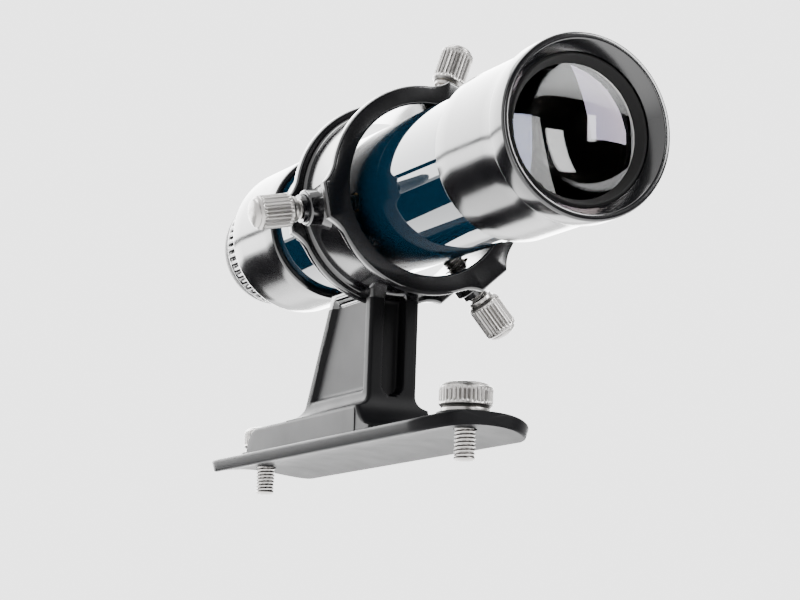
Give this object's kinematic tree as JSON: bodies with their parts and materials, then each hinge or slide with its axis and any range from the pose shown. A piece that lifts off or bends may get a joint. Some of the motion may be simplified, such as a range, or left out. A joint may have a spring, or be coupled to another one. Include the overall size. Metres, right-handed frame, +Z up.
{
  "type": "finder scope",
  "caption": "Small straight-through finder scope in a three-screw ring bracket with a saddle foot, focusing eyepiece and cross wires.",
  "frame": {"origin": "middle of the foot's seat, on top of the telescope tube it is screwed to", "axes": "+Z up from the seat to the optical axis, +Y backwards along the optical axis to the eyepiece, objective faces -Y"},
  "size_m": [0.0571, 0.147, 0.0863],
  "materials": {
    "black_plastic": "gloss moulded black",
    "blue_paint": "gloss dark blue enamel",
    "glass": "coated optical glass",
    "nickel": "nickel-plated, knurled",
    "brass": "turned brass",
    "matt_black": "matt black",
    "rubber": "soft black rubber",
    "spacer_metal": "turned aluminium",
    "wire": "fine drawn wire"
  },
  "bodies": {
    "bracket_body": {"bracket": "black_plastic", "boss_inserts": "brass", "foot_washers": "nickel"},
    "tube_body": {"main_tube": "blue_paint", "objective_cell": "black_plastic", "objective_retainer": "matt_black", "crown_lens": "glass", "lens_spacer": "spacer_metal", "flint_lens": "glass", "aperture_stop": "matt_black", "tube_baffle": "matt_black", "rear_collar": "black_plastic", "reticle_ring": "matt_black", "cross_wires": "wire", "reticle_retainer": "brass"},
    "eyepiece_optics": {"field_lens": "glass", "lens_sleeve": "matt_black", "eye_lens": "glass"},
    "eyepiece_shell": {"eyepiece_barrel": "black_plastic", "eyepiece_retainer": "matt_black", "eyecup": "rubber"},
    "top_shank": {"top_screw_shank": "nickel"},
    "top_head": {"top_screw_head": "nickel"},
    "left_shank": {"left_screw_shank": "nickel"},
    "left_head": {"left_screw_head": "nickel"},
    "right_shank": {"right_screw_shank": "nickel"},
    "right_head": {"right_screw_head": "nickel"},
    "front_foot_shank": {"front_foot_shank": "nickel"},
    "front_foot_head": {"front_foot_head": "nickel"},
    "rear_foot_shank": {"rear_foot_shank": "nickel"},
    "rear_foot_head": {"rear_foot_head": "nickel"}
  },
  "joints": [
    {"name": "tube_tilt", "type": "hinge", "parent": "bracket_body", "child": "tube_body", "pos_m": [0, -0.02, 0.048], "axis": [1, 0, 0], "range_deg": [-3, 3]},
    {"name": "focus_slide", "type": "slide", "parent": "tube_body", "child": "eyepiece_optics", "axis": [0, 1, 0], "range_m": [-0.0015, 0.0015]},
    {"name": "focus_turn", "type": "hinge", "parent": "eyepiece_optics", "child": "eyepiece_shell", "pos_m": [0, 0.035, 0.048], "axis": [0, 1, 0], "range_deg": [-360, 360]},
    {"name": "top_screw_slide", "type": "slide", "parent": "bracket_body", "child": "top_shank", "axis": [0.309, 0, 0.9511], "range_m": [0, 0.0028]},
    {"name": "top_screw_turn", "type": "hinge", "parent": "top_shank", "child": "top_head", "pos_m": [0.00927, -0.02, 0.07653], "axis": [0.309, 0, 0.9511], "range_deg": [0, 1440]},
    {"name": "left_screw_slide", "type": "slide", "parent": "bracket_body", "child": "left_shank", "axis": [-0.9781, 0, -0.2079], "range_m": [0, 0.0028]},
    {"name": "left_screw_turn", "type": "hinge", "parent": "left_shank", "child": "left_head", "pos_m": [-0.02934, -0.02, 0.04176], "axis": [-0.9781, 0, -0.2079], "range_deg": [0, 1440]},
    {"name": "right_screw_slide", "type": "slide", "parent": "bracket_body", "child": "right_shank", "axis": [0.6691, 0, -0.7431], "range_m": [0, 0.0028]},
    {"name": "right_screw_turn", "type": "hinge", "parent": "right_shank", "child": "right_head", "pos_m": [0.02007, -0.02, 0.02571], "axis": [0.6691, 0, -0.7431], "range_deg": [0, 1440]},
    {"name": "front_foot_slide", "type": "slide", "parent": "bracket_body", "child": "front_foot_shank", "axis": [0, 0, 1], "range_m": [0, 0.0056]},
    {"name": "front_foot_turn", "type": "hinge", "parent": "front_foot_shank", "child": "front_foot_head", "pos_m": [0, -0.048, 0.008], "axis": [0, 0, 1], "range_deg": [0, 2880]},
    {"name": "rear_foot_slide", "type": "slide", "parent": "bracket_body", "child": "rear_foot_shank", "axis": [0, 0, 1], "range_m": [0, 0.0056]},
    {"name": "rear_foot_turn", "type": "hinge", "parent": "rear_foot_shank", "child": "rear_foot_head", "pos_m": [0, 0.048, 0.008], "axis": [0, 0, 1], "range_deg": [0, 2880]}
  ],
  "couplings": [
    {"joint": "focus_turn", "follows": "focus_slide", "rad_per_m": 4188.7},
    {"joint": "top_screw_turn", "follows": "top_screw_slide", "rad_per_m": 8975.9},
    {"joint": "left_screw_turn", "follows": "left_screw_slide", "rad_per_m": 8975.9},
    {"joint": "right_screw_turn", "follows": "right_screw_slide", "rad_per_m": 8975.9},
    {"joint": "front_foot_turn", "follows": "front_foot_slide", "rad_per_m": 8975.9},
    {"joint": "rear_foot_turn", "follows": "rear_foot_slide", "rad_per_m": 8975.9}
  ]
}
